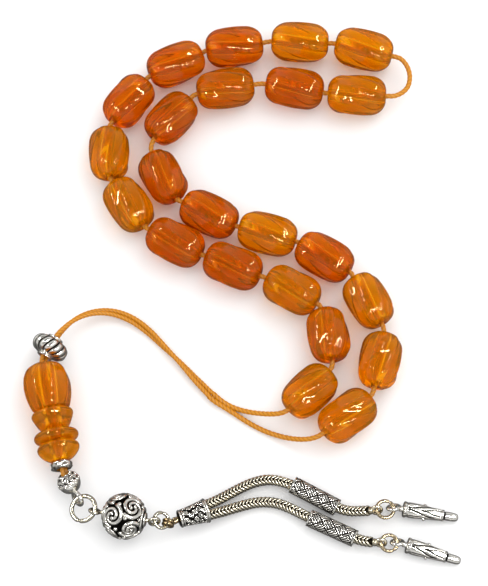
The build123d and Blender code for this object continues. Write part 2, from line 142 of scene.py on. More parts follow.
# ---- Camera ----
CAMERA_TARGET = place(0, 0, 5)
CAMERA_ELEVATION = 71
CAMERA_DISTANCE = 0.6
IMAGE_HEIGHT = 586
PIXELS_PER_METRE = 4000  # at the target
SENSOR = 36  # millimetres


def add_object(name, data):
    """A new object in the scene."""
    item = bpy.data.objects.new(name, data)
    bpy.context.collection.objects.link(item)
    return item


def make_camera():
    """A camera above the tassel's side of the table, its longer side upright."""
    data = bpy.data.cameras.new("camera")
    data.sensor_width = SENSOR
    data.lens = SENSOR * PIXELS_PER_METRE * CAMERA_DISTANCE / IMAGE_HEIGHT
    data.clip_start = 0.01
    camera = add_object("camera", data)
    tilt = radians(CAMERA_ELEVATION)
    back = Vector((0, -cos(tilt), sin(tilt)))
    camera.location = CAMERA_TARGET + back * CAMERA_DISTANCE
    camera.rotation_mode = "QUATERNION"
    camera.rotation_quaternion = (-back).to_track_quat("-Z", "Y")
    bpy.context.scene.camera = camera


make_camera()


# ---- Mesh helpers ----
def link_mesh(name, vertices, faces, material, relief=None):
    """A smooth mesh piece. relief, one value per vertex, is 0 in a recess and 1 on a raised surface."""
    mesh = bpy.data.meshes.new(name)
    mesh.from_pydata([tuple(vertex) for vertex in vertices], [], faces)
    mesh.polygons.foreach_set("use_smooth", [True] * len(faces))
    mesh.materials.append(material)
    if relief is not None:
        attribute = mesh.attributes.new("relief", "FLOAT", "POINT")
        attribute.data.foreach_set("value", relief)
    mesh.update()
    return add_object(name, mesh)


class Build:
    """Vertices, faces and relief of one piece, gathered from several closed surfaces."""

    def __init__(self):
        self.vertices = []
        self.faces = []
        self.relief = []

    def grid(self, rows, relief=None, joined_ends=False):
        """A closed surface from rings of points. The rings' ends are joined to each other or capped."""
        first = len(self.vertices)
        columns = len(rows[0])
        for index, row in enumerate(rows):
            self.vertices.extend(row)
            self.relief.extend(relief[index] if relief else [1.0] * columns)
        count = len(rows)
        for row in range(count if joined_ends else count - 1):
            here = first + row * columns
            there = first + (row + 1) % count * columns
            for column in range(columns):
                beside = (column + 1) % columns
                self.faces.append((here + column, here + beside, there + beside, there + column))
        if not joined_ends:
            self.faces.append(tuple(first + column for column in reversed(range(columns))))
            last = first + (count - 1) * columns
            self.faces.append(tuple(last + column for column in range(columns)))

    def ball(self, middle, radius, relief=1.0, columns=12, rows=7):
        """A round granule or core."""
        rings = []
        for row in range(rows):
            angle = pi * (row + 0.5) / rows
            centre = middle - UP * (radius * cos(angle))
            rings.append(ring_points(centre, RIGHT, AWAY, radius * sin(angle), columns))
        self.grid(rings, [[relief] * columns] * rows)

    def wire(self, points, radii, columns=10, joined_ends=False, inside=None, relief=1.0):
        """A round wire along points. With inside, a point that the wire lies round, the wire's inner
        side is in recess."""
        rings, shades = [], []
        for (point, side, up), radius in zip(transported_frames(points, joined_ends), radii):
            ring, values = [], []
            out = None if inside is None else (point - inside).normalized()
            for turn in turns_round(columns):
                offset = turned(side, up, turn)
                ring.append(point + offset * radius)
                values.append(relief if out is None else smooth_step(-0.25, 0.75, offset.dot(out)))
            rings.append(ring)
            shades.append(values)
        self.grid(rings, shades, joined_ends)

    def lathe(self, profile, start, axis, columns, shape=None, joined_ends=False):
        """A surface turned round an axis from (radius, height) pairs. shape(radius, height, turn) returns
        the radius with its relief cut in and the relief's value there."""
        side, third = axes_along(axis)
        rings, relief = [], []
        for radius, height in profile:
            ring, values = [], []
            for turn in turns_round(columns):
                here, value = shape(radius, height, turn) if shape else (radius, 1.0)
                ring.append(start + axis * height + turned(side, third, turn) * here)
                values.append(value)
            rings.append(ring)
            relief.append(values)
        self.grid(rings, relief, joined_ends)

    def rope(self, line, radius, pitch, groove, columns):
        """A twisted cord. Its plies wind round it once in each pitch, with grooves between. Its relief is
        low in the grooves, where the string's material paints shade.
        """
        rings, relief = [], []
        for (point, side, up), length in zip(transported_frames(line), lengths_along(line)):
            ring, values = [], []
            for turn in turns_round(columns):
                height = sqrt(abs(cos(PLIES / 2 * (turn - 2 * pi * length / pitch))))
                ring.append(point + turned(side, up, turn) * radius * (1 - groove * (1 - height)))
                # Low relief in the grooves between plies: the string is darkened there as painted shade.
                values.append(min(1.0, 0.15 + 0.85 * height))
            rings.append(ring)
            relief.append(values)
        self.grid(rings, relief)

    def finish(self, name, material, node, body=None):
        """The finished piece, which replaces one CAD node."""
        piece = link_mesh(name, self.vertices, self.faces, material, self.relief)
        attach(piece, body or node)
        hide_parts(node)
        return piece


def turns_round(count):
    """Angles spaced evenly round a circle."""
    return [2 * pi * index / count for index in range(count)]


def turned(first, second, turn):
    """The direction at an angle from one direction towards another that is square to it."""
    return first * cos(turn) + second * sin(turn)


def ring_points(middle, first, second, radius, count, start=0.0, sweep=360.0):
    """Points round a circle, or part of one, in the plane of two directions."""
    gaps = count if sweep >= 360 else count - 1
    turns = [radians(start + sweep * index / gaps) for index in range(count)]
    return [middle + turned(first, second, turn) * radius for turn in turns]


def transported_frames(points, closed=False):
    """Each point with two directions square to the line there, which turn as little as they can."""
    count = len(points)
    frames = []
    side = None
    for index, point in enumerate(points):
        if closed:
            tangent = points[(index + 1) % count] - points[index - 1]
        else:
            tangent = points[min(index + 1, count - 1)] - points[max(index - 1, 0)]
        tangent.normalize()
        if side is None:
            side = tangent.cross(UP)
            if side.length < 0.1:
                side = tangent.cross(RIGHT)
        side = (side - tangent * side.dot(tangent)).normalized()
        frames.append((point, side, tangent.cross(side)))
    return frames


def axes_along(axis):
    """A level direction and a third direction, square to an axis and to each other."""
    side = axis.cross(UP)
    side = RIGHT if side.length < 0.01 else side.normalized()
    return side, axis.cross(side).normalized()


def smooth_step(low, high, value):
    """0 below low, 1 above high, and a smooth rise between them."""
    share = min(max((value - low) / (high - low), 0.0), 1.0)
    return share * share * (3 - 2 * share)


# ---- Materials ----
def grey(value):
    return (value, value, value)


class Look:
    """The nodes of a material or of the world, and ways to add to them."""

    def __init__(self, owner):
        self.owner = owner
        owner.use_nodes = True
        self.nodes = owner.node_tree.nodes
        self.links = owner.node_tree.links
        self.coordinates = self.nodes.new("ShaderNodeTexCoord").outputs

    def feed(self, node, inputs):
        """Gives a node's inputs their values, each a constant or another node's socket."""
        for name, value in inputs.items():
            socket = node.inputs[name]
            if isinstance(value, bpy.types.NodeSocket):
                self.links.new(value, socket)
            elif socket.type == "RGBA":
                socket.default_value = (*value, 1)
            else:
                socket.default_value = value

    def add(self, kind, inputs):
        node = self.nodes.new("ShaderNode" + kind)
        self.feed(node, inputs)
        return node

    def shade(self, inputs):
        """Gives the material's own shader its values."""
        self.feed(self.nodes["Principled BSDF"], inputs)

    def noise(self, scale, detail=3.0, roughness=0.5):
        inputs = {"Scale": scale, "Detail": detail, "Roughness": roughness}
        return self.add("TexNoise", {"Vector": self.coordinates["Object"], **inputs}).outputs["Fac"]

    def ramp(self, value, stops):
        """A colour ramp. stops are (position, colour) pairs."""
        node = self.add("ValToRGB", {"Fac": value})
        elements = node.color_ramp.elements
        while len(elements) < len(stops):
            elements.new(0.5)
        for element, (position, colour) in zip(elements, stops):
            element.position = position
            element.color = (*colour, 1)
        return node.outputs["Color"]

    def bump(self, height, strength, distance):
        node = self.add("Bump", {"Height": height, "Strength": strength, "Distance": distance})
        return node.outputs["Normal"]

    def tone(self, wear, share):
        """The mesh's relief, with a share of fine wear added to it."""
        relief = self.add("Attribute", {})
        relief.attribute_name = "relief"
        node = self.add("Math", {0: wear, 1: share, 2: relief.outputs["Fac"]})
        node.operation = "MULTIPLY_ADD"
        return node.outputs["Value"]

    def mix(self, share, colour_off, colour_on):
        """One colour or the other, by a share."""
        node = self.add("Mix", {"Factor": share})
        node.data_type = "RGBA"
        off, on = [index for index, socket in enumerate(node.inputs) if socket.type == "RGBA"]
        self.feed(node, {off: colour_off, on: colour_on})
        return next(socket for socket in node.outputs if socket.type == "RGBA")

    def mirrored(self):
        """1 for a ray that a surface mirrors, 0 for one that it bends or scatters, or a camera ray."""
        path = self.add("LightPath", {}).outputs
        node = self.add("Math", {0: path["Is Glossy Ray"], 1: path["Is Transmission Ray"]})
        node.operation = "SUBTRACT"
        node.use_clamp = True
        return node.outputs["Value"]

    def tent(self, dark_side, stops):
        """A grey light tent that darkens towards one side. stops are (position, brightness) pairs."""
        node = self.add("VectorMath", {0: self.coordinates["Generated"], 1: dark_side})
        node.operation = "DOT_PRODUCT"
        return self.ramp(node.outputs["Value"], [(position, grey(value)) for position, value in stops])


def amber(name, light, dark, absorbed, density):
    """Polished amber resin: clear, with slow cloudy streaks and a depth of colour from its volume."""
    look = Look(bpy.data.materials.new(name))
    look.shade({
        "Base Color": look.ramp(look.noise(260, 2.0), [(0.35, dark), (0.68, light)]),
        "Roughness": look.ramp(look.noise(900), [(0.3, grey(0.02)), (0.75, grey(0.05))]),
        "Normal": look.bump(look.noise(420, 2.0), 0.02, 0.0004),
        "Specular IOR Level": 0.11,
        "Specular Tint": (1.0, 0.8, 0.42),
        "Transmission Weight": 0.85,
        "IOR": 1.54,
    })
    volume = look.add("VolumeAbsorption", {"Color": absorbed, "Density": density})
    look.feed(look.nodes["Material Output"], {"Volume": volume.outputs["Volume"]})
    return look.owner


def silver(name, bright, dull, patina, roughness):
    """Antiqued silver: bright where it is raised, dark in its recesses, with fine handling marks."""
    look = Look(bpy.data.materials.new(name))
    tone = look.tone(look.noise(1600, 4.0, 0.6), 0.3)
    polish = [(0.3, grey(0.55)), (0.65, grey(roughness + 0.12)), (1.0, grey(roughness))]
    look.shade({
        "Metallic": 1.0,
        "Base Color": look.ramp(tone, [(0.30, patina), (0.62, dull), (0.95, bright)]),
        "Roughness": look.ramp(tone, polish),
        "Normal": look.bump(look.noise(2600), 0.12, 0.0001),
    })
    return look.owner


def string_material():
    """Waxed golden string, with painted shade darkening it between its plies, fine fibres and a soft
    gloss.
    """
    look = Look(bpy.data.materials.new("waxed_string"))
    # Painted shade: dark in the grooves between the plies, the string's own gold on the plies, with fine
    # fibre noise added.
    stops = [(0.2, (0.15, 0.04, 0.0005)), (0.6, (0.38, 0.12, 0.002)), (1.0, (0.60, 0.235, 0.004))]
    look.shade({
        "Base Color": look.ramp(look.tone(look.noise(3200, 3.0, 0.6), 0.35), stops),
        "Roughness": 0.42,
        "Specular IOR Level": 0.25,
        "Sheen Weight": 0.02,
        "Coat Weight": 0.05,
        "Coat Roughness": 0.3,
        "Normal": look.bump(look.noise(5200, 2.0), 0.35, 0.00012),
    })
    return look.owner


AMBER_LIGHT = amber("amber_light", (0.94, 0.47, 0.0006), (0.91, 0.42, 0.0003), (0.94, 0.61, 0.0), 125)
AMBER_MIDDLE = amber("amber_middle", (0.92, 0.39, 0.0005), (0.88, 0.34, 0.0003), (0.93, 0.55, 0.0), 130)
AMBER_DARK = amber("amber_dark", (0.90, 0.31, 0.0004), (0.85, 0.26, 0.0002), (0.92, 0.50, 0.0), 135)
HEAD_AMBER = amber("head_amber", (0.95, 0.46, 0.0006), (0.90, 0.39, 0.0003), (0.94, 0.58, 0.0), 115)
SILVER = silver("antiqued_silver", (0.88, 0.86, 0.80), (0.22, 0.20, 0.17), (0.006, 0.005, 0.004), 0.2)
WIRE_SILVER = silver("silver_wire", (0.62, 0.58, 0.47), (0.36, 0.31, 0.22), (0.05, 0.04, 0.02), 0.16)
CHAIN_SILVER = silver("chain_silver", (0.76, 0.70, 0.56), (0.26, 0.22, 0.14), (0.012, 0.010, 0.006), 0.26)
WARM_WIRE = silver("warm_wire", (0.56, 0.45, 0.29), (0.28, 0.20, 0.11), (0.05, 0.03, 0.015), 0.24)
BROWN_WIRE = silver("brown_wire", (0.40, 0.30, 0.17), (0.17, 0.12, 0.07), (0.03, 0.02, 0.01), 0.22)
STRING = string_material()

DARK_BEADS = {3, 4, 5, 8, 9, 14, 16, 17, 18, 20}
LIGHT_BEADS = {1, 2, 6, 7, 10, 12, 13, 19, 21, 22, 23}


# ---- Cords ----
SPLINE_STEPS = 40
PLIES = 3
STRANDS_PITCH = 60 * MM  # one turn of the doubled string's strands round each other
CHAIN_PITCH = 0.92 * MM  # from one V of links to the next
LINK_WIRE = 0.24 * MM  # radius
LINK_SLANT = 1.7 * MM  # how far a link runs back while it turns a quarter round the chain
LINK_STEPS = 6
CHAIN_END = 1.48 * MM  # from the middle of a chain's eye to its last link


def spline_line(name, route):
    """The smooth line of a route's NURBS spline, as points."""
    curve = bpy.data.curves.new(name, "CURVE")
    curve.dimensions = "3D"
    spline = curve.splines.new("NURBS")
    spline.points.add(len(route) - 1)
    for point, place_in in zip(spline.points, route):
        point.co = (*place_in, 1)
    spline.order_u = 3
    spline.use_endpoint_u = True
    spline.resolution_u = SPLINE_STEPS
    holder = add_object(name, curve)
    bpy.context.view_layer.update()
    mesh = bpy.data.meshes.new_from_object(holder)
    line = [vertex.co.copy() for vertex in mesh.vertices]
    bpy.data.objects.remove(holder)
    return line


def lengths_along(line):
    """The length of a line up to each of its points."""
    lengths = [0.0]
    for before, after in zip(line, line[1:]):
        lengths.append(lengths[-1] + (after - before).length)
    return lengths


def doubled_direction():
    """The way the doubled string leaves the join."""
    return (place(*DOUBLED[0]) - place(*JOIN)).normalized()


def strand_end(side):
    """Where one of the two strands ends at the join."""
    across = UP.cross(doubled_direction())
    return place(*JOIN) - across * (side * STRING_DIAMETER / 2)


def axle_ends(node):
    """Both ends of a turning piece's axle."""
    start, axis, length = axle(node)
    return [start, start + axis * length]


def make_string_loop():
    """The single string: from the join through the outer beads, round the end and back to the join."""
    lead = doubled_direction() * STRAND_LEAD
    route = [strand_end(1), strand_end(1) - lead]
    route += places(reversed(STRAND_A))
    for node in reversed(OUTER_BEADS):
        route += axle_ends(node)
    route += places(END_LOOP)
    for node in INNER_BEADS:
        route += reversed(axle_ends(node))
    route += places(STRAND_B)
    route += [strand_end(-1) - lead, strand_end(-1)]
    line = spline_line("string_loop_line", route)
    build = Build()
    build.rope(line, STRING_DIAMETER / 2, pitch=3.4 * MM, groove=0.3, columns=18)
    cord = build.finish("string_loop_cord", STRING, "string_loop", body="string")


def head_point(distance):
    """A point on the head's axis, at a distance from its top."""
    return place(*HEAD_TOP) + level(HEAD_HEADING) * distance


def ball_cap_place():
    """The ball cap's middle, and the way the string runs into it."""
    middle = place(*BALL_CAP_MIDDLE)
    return middle, (middle - head_point(HEAD_END)).normalized()


def make_string_doubled():
    """The two strands from the join to the knot, which turn slowly round each other."""
    ball, into = ball_cap_place()
    route = places([JOIN] + DOUBLED) + axle_ends("rondelle")
    route += [head_point(0), head_point(HEAD_END), ball - into * KNOT_TOP]
    line = spline_line("string_doubled_line", route)
    frames = transported_frames(line)
    lengths = lengths_along(line)
    build = Build()
    strand = DOUBLED_DIAMETER / 4
    for hand in (1, -1):
        centre = []
        for (point, side, up), length in zip(frames, lengths):
            centre.append(point + turned(side, up, 2 * pi * length / STRANDS_PITCH) * (strand * hand))
        build.rope(centre, strand * 1.08, pitch=3.0 * MM, groove=0.26, columns=16)
    cord = build.finish("string_doubled_cord", STRING, "string_doubled", body="string")


def stretch_at(lengths, distance):
    """Which stretch of a line holds a distance along it, and the share of the stretch up to there."""
    stretch = min(max(bisect_right(lengths, distance) - 1, 0), len(lengths) - 2)
    start, end = lengths[stretch], lengths[stretch + 1]
    return stretch, (distance - start) / max(end - start, 1e-9)


def chain_eye(number):
    """The middle of the eye on a chain's last link, and the way from its ring's middle to it."""
    eye = joint_place(f"end_ring_{number}_lift")
    return eye, (eye - box_middle(f"end_ring_{number}")).normalized()


def make_chain(number):
    """A foxtail chain: four rows of slanted links, so every face shows a row of Vs, round a dark core that
    is painted shade for the inside of the chain.
    """
    cap_start, cap_end = place(*CAP_SMALL_END), place(*CAP_WIDE_END)
    along = (cap_end - cap_start).normalized()
    across = UP.cross(along).normalized() * (CHAIN_SIDE[number] * CHAIN_SPACING)
    eye, outward = chain_eye(number)
    end = eye + outward * CHAIN_END
    route = [cap_end - along * CAP_MOUTH_DEPTH + across, cap_end + along * 0.6 * MM + across]
    route += places(CHAIN_POINTS[number]) + axle_ends(f"weave_tube_{number}")
    route += places(CHAIN_AFTER_TUBE[number]) + [end + outward * CHAIN_LEAD, end]
    line = spline_line(f"chain_{number}_line", route)
    lengths = lengths_along(line)
    frames = transported_frames(line)
    build = Build()
    reach = CHAIN_DIAMETER / 2 - LINK_WIRE

    def chain_point(distance, turn):
        """On the links' middle line, this far along the chain and round it."""
        stretch, share = stretch_at(lengths, min(max(distance, 0), lengths[-1]))
        _, side, up = frames[stretch]
        point = line[stretch].lerp(line[stretch + 1], share)
        square = 1 + 0.12 * abs(sin(2 * turn)) ** 2
        return point + turned(side, up, turn) * (reach * square)

    distance = LINK_SLANT * 0.6
    while distance < lengths[-1] - LINK_SLANT * 0.45:
        stretch, _ = stretch_at(lengths, distance)
        for quarter in range(4):
            points, radii = [], []
            for step in range(LINK_STEPS + 1):
                share = step / LINK_STEPS
                run = 1 - share if quarter % 2 else share
                points.append(chain_point(distance + LINK_SLANT * (0.5 - run), pi / 2 * (quarter + share)))
                radii.append(LINK_WIRE * (0.85 + 0.3 * sin(pi * share)))
            build.wire(points, radii, columns=8, inside=line[stretch])
        distance += CHAIN_PITCH
    # A dark core wire inside the links, in the patina colour: painted shade, a dark filling that stands
    # for the shade inside the chain.
    core = line[::6]
    build.wire(core, [reach * 0.72] * len(core), columns=8, relief=0.0)
    build.ball(line[-1], reach, relief=0.6)
    cord = build.finish(f"foxtail_chain_{number}", CHAIN_SILVER, f"chain_{number}",
                        body="end_cap")


make_string_loop()
make_string_doubled()
make_chain(1)
make_chain(2)


# ---- Amber beads ----
BEAD_CORNER = 4.3 * MM  # length of a bead's rounded end
BEAD_FACE = BEAD_BORE + 0.2 * MM  # radius of a bead's flat face
BEAD_BULGE = 0.12 * MM
BEAD_COLUMNS = 128
BEAD_STEPS = 12  # along a rounded end
FLUTES = 8
FLUTE_DEPTH = 0.3 * MM
FLUTE_WIDTH = 0.4  # half a flute's width, as a share of the pitch between flutes
FLUTE_TWIST = radians(50)  # how far a flute turns over a bead's length
PHASE_STEP = radians(137.5)  # each bead is turned this much more than the one before
BORE_STEPS = 6


def flute(turn, width):
    """How deep the flutes are at an angle: 1 in the middle of a flute, 0 on the land between two."""
    share = 2 * pi / FLUTES
    offset = (turn / share + 0.5) % 1.0 - 0.5
    return max(0.0, 1 - (offset / width) ** 2)


def barrel_profile(length):
    """(radius, height) pairs of a barrel with rounded ends, from face to face."""
    side = BEAD_RADIUS - BEAD_BULGE
    end = []
    for step in range(BEAD_STEPS + 1):
        angle = pi / 2 * step / BEAD_STEPS
        radius = BEAD_FACE + (side - BEAD_FACE) * sin(angle) ** 0.92
        end.append((radius, BEAD_CORNER * (1 - cos(angle))))
    middle = []
    for step in range(1, BEAD_STEPS + 4):
        share = step / (BEAD_STEPS + 4)
        height = BEAD_CORNER + (length - 2 * BEAD_CORNER) * share
        middle.append((side + BEAD_BULGE * 4 * share * (1 - share), height))
    return end + middle + [(radius, length - height) for radius, height in reversed(end)]


def bored(profile, bore):
    """The same profile with its bore, from the last face back to the first."""
    length = profile[-1][1]
    return profile + [(bore, length * (1 - step / BORE_STEPS)) for step in range(BORE_STEPS + 1)]


def make_turning(node, profile, bore, columns, shape, name, material):
    """A bored turning on its own axle."""
    start, axis, _ = axle(node)
    build = Build()
    build.lathe(bored(profile, bore), start, axis, columns, shape, joined_ends=True)
    build.finish(name, material, node)


def make_bead(number, node):
    """A barrel bead with twisted flutes that run out on its rounded ends."""
    _, _, length = axle(node)
    phase = number * PHASE_STEP

    def shape(radius, height, turn):
        share = height / length - 0.5
        cut = FLUTE_DEPTH * flute(turn - phase - FLUTE_TWIST * share, FLUTE_WIDTH)
        return radius - cut * smooth_step(0.35, 0.8, radius / BEAD_RADIUS), 1.0

    material = AMBER_MIDDLE
    if number in DARK_BEADS:
        material = AMBER_DARK
    if number in LIGHT_BEADS:
        material = AMBER_LIGHT
    make_turning(node, barrel_profile(length), BEAD_BORE, BEAD_COLUMNS, shape, f"amber_{node}", material)


for bead_number, bead_node in enumerate(BEADS, start=1):
    make_bead(bead_number, bead_node)


# ---- Head ----
HEAD_COLUMNS = 96
HEAD_RADIUS = 5.9 * MM
HEAD_FLUTE_DEPTH = 0.34 * MM
HEAD_FLUTE_WIDTH = 0.44
HEAD_FLUTE_TWIST = radians(18)
HEAD_BARREL_OUTLINE = [(1.65, 0.0), (2.9, 0.12), (4.3, 0.95), (5.35, 2.6), (5.82, 4.8), (5.8, 7.0),
                       (5.4, 9.2), (4.9, 10.8), (4.55, 11.6), (4.1, 12.0)]
HEAD_OUTLINES = {
    "head_cup": [(1.65, 0.0), (3.9, 0.05), (4.75, 0.3), (5.15, 1.0), (4.95, 1.8), (4.55, 2.7), (4.05, 3.7),
                 (3.4, 4.6), (3.1, 5.0)],
    "head_disc": [(1.65, 0.0), (3.2, 0.03), (4.4, 0.25), (5.2, 0.75), (5.5, 1.5), (5.2, 2.25), (4.4, 2.75),
                  (3.2, 2.97), (1.7, 3.0)],
    "head_bowl": [(1.65, 0.0), (3.4, 0.04), (4.4, 0.25), (5.0, 0.7), (5.2, 1.35), (4.95, 2.2), (4.3, 3.1),
                  (3.3, 3.95), (2.3, 4.4), (1.7, 4.5)],
}
RONDELLE_OUTLINE = [(1.5, 0.0), (1.95, 0.03), (2.02, 0.35), (1.85, 0.62), (2.3, 0.72), (3.5, 0.95),
                    (4.35, 1.65), (4.68, 2.8), (4.35, 3.95), (3.5, 4.65), (2.3, 4.88), (1.85, 4.98),
                    (2.02, 5.25), (1.95, 5.57), (1.5, 5.6)]
RONDELLE_RIBS = 14
RONDELLE_SLANT = 0.55  # radians from end to end
RONDELLE_GROOVE = 0.62 * MM
SPACER_OUTLINE = [(1.5, 0.0), (2.2, 0.05), (2.55, 0.4), (2.62, 1.0), (2.55, 1.6), (2.2, 1.95), (1.5, 2.0)]
DENT_DEPTH = 0.32 * MM


def curve_profile(points, steps=8):
    """A smooth profile through (radius, height) points in millimetres, by Catmull-Rom."""
    ends = [points[0], *points, points[-1]]
    profile = []
    for window in zip(ends, ends[1:], ends[2:], ends[3:]):
        for step in range(steps):
            t = step / steps
            square, cube = t ** 2, t ** 3
            shares = (2 * square - t - cube, 2 - 5 * square + 3 * cube, t + 4 * square - 3 * cube,
                      cube - square)
            radius = sum(share * point[0] for share, point in zip(shares, window)) / 2
            height = sum(share * point[1] for share, point in zip(shares, window)) / 2
            profile.append((radius * MM, height * MM))
    return profile + [(points[-1][0] * MM, points[-1][1] * MM)]


def make_head_piece(node, outline, columns, shape, material, slot):
    """A turning on the doubled string, named after its node and its kind of material."""
    kind = slot.split("_")[1]
    make_turning(node, curve_profile(outline), HEAD_BORE, columns, shape, f"{node}_{kind}", material)


def make_head_barrel():
    """The large fluted barrel at the top of the head."""
    _, _, length = axle("head_barrel")

    def shape(radius, height, turn):
        cut = HEAD_FLUTE_DEPTH * flute(turn - HEAD_FLUTE_TWIST * height / length, HEAD_FLUTE_WIDTH)
        return radius - cut * smooth_step(0.45, 0.8, radius / HEAD_RADIUS), 1.0

    make_head_piece("head_barrel", HEAD_BARREL_OUTLINE, HEAD_COLUMNS, shape, HEAD_AMBER, "head_amber")


def make_rondelle():
    """Melon-shaped silver spacer: slanted round ribs with deep dark grooves, and a collar at each end."""
    _, _, length = axle("rondelle")

    def shape(radius, height, turn):
        share = height / length - 0.5
        body = smooth_step(2.0 * MM, 2.7 * MM, radius)
        rib = abs(cos(RONDELLE_RIBS / 2 * (turn - RONDELLE_SLANT * share))) ** 0.55
        return radius - RONDELLE_GROOVE * (1 - rib) * body, 1 - body * (1 - smooth_step(0.35, 0.85, rib))

    make_head_piece("rondelle", RONDELLE_OUTLINE, 168, shape, SILVER, "worked_silver")


def make_head_spacer():
    """Bright washer with hammered dents all over."""

    def shape(radius, height, turn):
        dent = noise.noise(Vector((cos(turn) * 2.4, sin(turn) * 2.4, height / MM * 1.6)))
        rim = smooth_step(1.9 * MM, 2.4 * MM, radius)
        return radius + DENT_DEPTH * dent * rim, 0.62 + 0.5 * dent

    make_head_piece("head_spacer", SPACER_OUTLINE, 64, shape, SILVER, "worked_silver")


# ---- Rings, eyes and wire ----
# Each ring's tilt, its radius, its wire's thickness and the angle of its cut, in degrees and millimetres.
RINGS = {
    "large_ring": (20, 3.1, 1.1, 250),
    "small_ring": (-25, 1.9, 0.85, 80),
    "end_ring_1": (0, 2.1, 0.9, 60),
    "end_ring_2": (0, 2.0, 0.9, 300),
}
RING_STEPS = 72
RING_GAP = 3.0  # degrees
EYE_STEPS = 40
STEM_STEPS = 6
EYE = (1.14 * MM, 0.43 * MM)  # its radius and its wire's radius
DROP_EYE = (1.4 * MM, 0.45 * MM)
BALL_CAP_EYE = (1.65 * MM, 0.55 * MM)
EYE_LEAN = radians(30)
WIDE_EYE_LEAN = radians(36)
PIN_WIRE = 0.48 * MM  # radii of the stems
CHAIN_STEM_WIRE = 0.5 * MM
DROP_STEM_WIRE = 0.7 * MM
CAP_STEM_WIRE = 0.75 * MM
CHAIN_STEM = 1.5 * MM  # from the eye's middle


def make_ring(node, material):
    """A jump ring whose cut ends meet, with the fine line of the cut between them."""
    tilt, radius, thickness, cut = RINGS[node]
    right = Vector((cos(radians(tilt)), 0, sin(radians(tilt))))
    points = ring_points(box_middle(node), right, AWAY, radius * MM, RING_STEPS, cut + RING_GAP / 2,
                         360 - RING_GAP)
    radii = []
    for index in range(RING_STEPS):
        from_cut = min(index, RING_STEPS - 1 - index)
        radii.append(thickness / 2 * MM * (1 - 0.35 * exp(-from_cut / 0.8)))
    build = Build()
    build.wire(points, radii, columns=16)
    build.finish(node + "_wire", material, node)


def eye_and_stem(build, joint, end, eye, stem_wire, lean=EYE_LEAN, shift=0.0):
    """A wire eye round a joint's axis, and the stem that leaves it towards a point. The eye leans over
    on the ring's wire, as loose links do."""
    radius, wire = eye
    tangent = joint_axis(joint)
    middle = joint_place(joint) + tangent * shift
    way = (end - middle).normalized()
    along = (way - tangent * way.dot(tangent)).normalized()
    points = ring_points(middle, along, turned(tangent.cross(along), tangent, lean), radius, EYE_STEPS)
    build.wire(points, [wire] * EYE_STEPS, columns=14, joined_ends=True)
    stem_start = middle + way * radius
    stem = [stem_start.lerp(end, step / STEM_STEPS) for step in range(STEM_STEPS + 1)]
    build.wire(stem, [stem_wire] * len(stem), columns=14)


def make_ball_pin():
    """The pin through the filigree ball, with an eye at each end."""
    middle = (joint_place("ball_pin_lift") + joint_place("small_ring_lift")) / 2
    build = Build()
    for joint in ("ball_pin_lift", "small_ring_lift"):
        eye_and_stem(build, joint, middle, EYE, PIN_WIRE)
    build.finish("ball_pin_wire", WIRE_SILVER, "ball_pin")


def make_cap_loop():
    """The brown wire loop of the end cap: two turns side by side round the small ring, on a thick stem."""
    build = Build()
    for shift in (-EYE[1], EYE[1]):
        eye_and_stem(build, "end_cap_lift", place(*CAP_SMALL_END), EYE, CAP_STEM_WIRE, 0.0, shift)
    build.finish("cap_loop_wire", BROWN_WIRE, "cap_loop", body="end_cap")


def make_chain_end_loop(number):
    """The eye on a chain's last link."""
    eye, outward = chain_eye(number)
    build = Build()
    eye_and_stem(build, f"end_ring_{number}_lift", eye + outward * CHAIN_STEM, EYE, CHAIN_STEM_WIRE)
    build.finish(f"chain_{number}_end_loop_wire", CHAIN_SILVER, f"chain_{number}_end_loop",
                 body="end_cap")


# ---- Ball cap ----
BALL_CAP_RADIUS = 2.8 * MM
BALL_CAP_INSIDE = 2.1 * MM
BALL_CAP_MOUTH = asin(1.3 / 2.8)  # the half angle of the hole for the string
POLE_GAP = 0.01 * MM  # keeps a turned surface from closing to a point on its axis
CURL_LATITUDES = (36, 60, 84)  # degrees from the mouth's middle to each row of small rings
CURL_PITCH = 1.3 * MM
CURL_RADIUS = 0.42 * MM
CURL_WIRE = 0.17 * MM
CURL_STEPS = 14


def ball_cap_profile():
    """(radius, height) pairs of the hollow ball, from its mouth round the outside and back inside."""
    profile = []
    for step in range(25):
        angle = BALL_CAP_MOUTH + (pi - BALL_CAP_MOUTH) * step / 24
        radius = (BALL_CAP_RADIUS - 2 * POLE_GAP) * sin(angle) + POLE_GAP
        profile.append((radius, BALL_CAP_RADIUS * (1 - cos(angle))))
    for step in range(13):
        angle = pi - (pi - BALL_CAP_MOUTH * 1.4) * step / 12
        radius = BALL_CAP_INSIDE * sin(angle) + POLE_GAP
        profile.append((radius, BALL_CAP_RADIUS - BALL_CAP_INSIDE * cos(angle)))
    return profile


def make_ball_cap():
    """Hollow silver ball, with rows of small rings round granules and a loop for the large ring."""
    middle, into = ball_cap_place()
    side, third = axes_along(into)

    def shape(radius, height, turn):
        return radius, smooth_step(1.9 * MM, 2.6 * MM, height)

    build = Build()
    build.lathe(ball_cap_profile(), middle - into * BALL_CAP_RADIUS, into, 48, shape, joined_ends=True)
    for row, latitude in enumerate(CURL_LATITUDES):
        count = round(2 * pi * BALL_CAP_RADIUS * sin(radians(latitude)) / CURL_PITCH)
        for index in range(count):
            turn = 2 * pi * (index + 0.5 * (row % 2)) / count
            out = turned(-into, turned(side, third, turn), radians(latitude))
            first, second = axes_along(out)
            ring_middle = middle + out * (BALL_CAP_RADIUS - 0.06 * MM)
            ring = ring_points(ring_middle, first, second, CURL_RADIUS, CURL_STEPS)
            build.wire(ring, [CURL_WIRE] * CURL_STEPS, columns=8, joined_ends=True, inside=middle)
            build.ball(middle + out * BALL_CAP_RADIUS, 0.16 * MM, columns=8, rows=5)
    eye_and_stem(build, "large_ring_lift", middle, BALL_CAP_EYE, CAP_STEM_WIRE, WIDE_EYE_LEAN)
    build.finish("ball_cap_silver", SILVER, "ball_cap", body="string")


